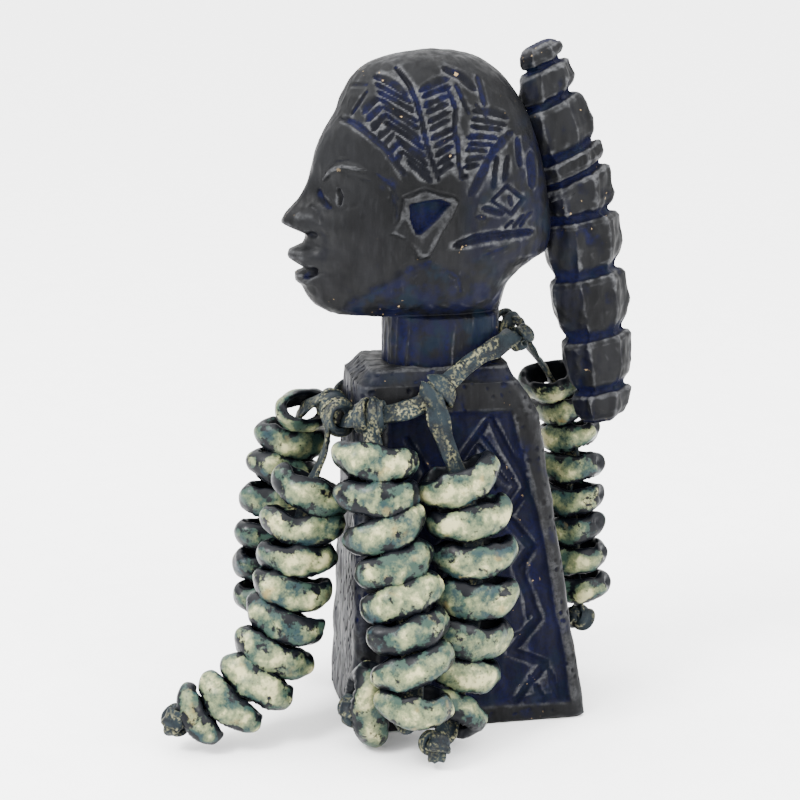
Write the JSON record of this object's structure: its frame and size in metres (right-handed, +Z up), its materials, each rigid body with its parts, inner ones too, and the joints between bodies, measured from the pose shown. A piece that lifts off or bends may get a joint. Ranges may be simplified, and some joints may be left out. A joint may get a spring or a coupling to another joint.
{
  "type": "fertility doll",
  "caption": "Indigo-dyed carved wooden bust with a long free-hanging braid on a tapering block, wearing a leather neck thong hung with strands of cut cowrie shells.",
  "frame": {"origin": "centre of the carved figure's box in plan, on the plane it stands on", "axes": "+Z up through the head, -Y the way the face looks, +X the figure's left"},
  "size_m": [0.0778, 0.1381, 0.1908],
  "materials": {
    "indigo_wood": "hand-carved, dyed blue-black, matt with rubbed edges and brighter blue in the cuts",
    "dyed_leather": "dark blue-grey thong, worn, with pale specks",
    "cowrie_shell": "ivory shell stained blue-green, dark in the hollows, soft shine"
  },
  "bodies": {
    "figure": {"carved_figure": "indigo_wood", "neck_thong": "dyed_leather"},
    "strand_front_left": {"thong_front_left": "dyed_leather", "cowrie_front_left_01": "cowrie_shell", "cowrie_front_left_02": "cowrie_shell", "cowrie_front_left_03": "cowrie_shell", "cowrie_front_left_04": "cowrie_shell", "cowrie_front_left_05": "cowrie_shell", "cowrie_front_left_06": "cowrie_shell", "cowrie_front_left_07": "cowrie_shell", "cowrie_front_left_08": "cowrie_shell", "cowrie_front_left_09": "cowrie_shell"},
    "strand_left_front": {"thong_left_front": "dyed_leather", "cowrie_left_front_01": "cowrie_shell", "cowrie_left_front_02": "cowrie_shell", "cowrie_left_front_03": "cowrie_shell", "cowrie_left_front_04": "cowrie_shell", "cowrie_left_front_05": "cowrie_shell", "cowrie_left_front_06": "cowrie_shell", "cowrie_left_front_07": "cowrie_shell", "cowrie_left_front_08": "cowrie_shell", "cowrie_left_front_09": "cowrie_shell"},
    "strand_left_side": {"thong_left_side": "dyed_leather", "cowrie_left_side_01": "cowrie_shell", "cowrie_left_side_02": "cowrie_shell", "cowrie_left_side_03": "cowrie_shell", "cowrie_left_side_04": "cowrie_shell", "cowrie_left_side_05": "cowrie_shell", "cowrie_left_side_06": "cowrie_shell", "cowrie_left_side_07": "cowrie_shell"},
    "strand_front_right": {"thong_front_right": "dyed_leather", "cowrie_front_right_01": "cowrie_shell", "cowrie_front_right_02": "cowrie_shell", "cowrie_front_right_03": "cowrie_shell", "cowrie_front_right_04": "cowrie_shell", "cowrie_front_right_05": "cowrie_shell", "cowrie_front_right_06": "cowrie_shell", "cowrie_front_right_07": "cowrie_shell"},
    "strand_back": {"thong_back": "dyed_leather", "cowrie_back_01": "cowrie_shell", "cowrie_back_02": "cowrie_shell", "cowrie_back_03": "cowrie_shell", "cowrie_back_04": "cowrie_shell", "cowrie_back_05": "cowrie_shell", "cowrie_back_06": "cowrie_shell", "cowrie_back_07": "cowrie_shell", "cowrie_back_08": "cowrie_shell"}
  },
  "joints": [
    {"name": "front_left_swing", "type": "hinge", "parent": "figure", "child": "strand_front_left", "pos_m": [0.006, -0.0346, 0.0886], "axis": [-1, 0, 0], "range_deg": [0, 40]},
    {"name": "left_front_swing", "type": "hinge", "parent": "figure", "child": "strand_left_front", "pos_m": [0.0183, -0.0294, 0.0914], "axis": [0, -1, 0], "range_deg": [0, 35]},
    {"name": "left_side_swing", "type": "hinge", "parent": "figure", "child": "strand_left_side", "pos_m": [0.0201, -0.0134, 0.0958], "axis": [1, 0, 0], "range_deg": [0, 20]},
    {"name": "front_right_swing", "type": "hinge", "parent": "figure", "child": "strand_front_right", "pos_m": [-0.0054, -0.0346, 0.0886], "axis": [-1, 0, 0], "range_deg": [0, 40]},
    {"name": "back_swing", "type": "hinge", "parent": "figure", "child": "strand_back", "pos_m": [-0.005, 0.0136, 0.1092], "axis": [0, 1, 0], "range_deg": [0, 30]}
  ]
}
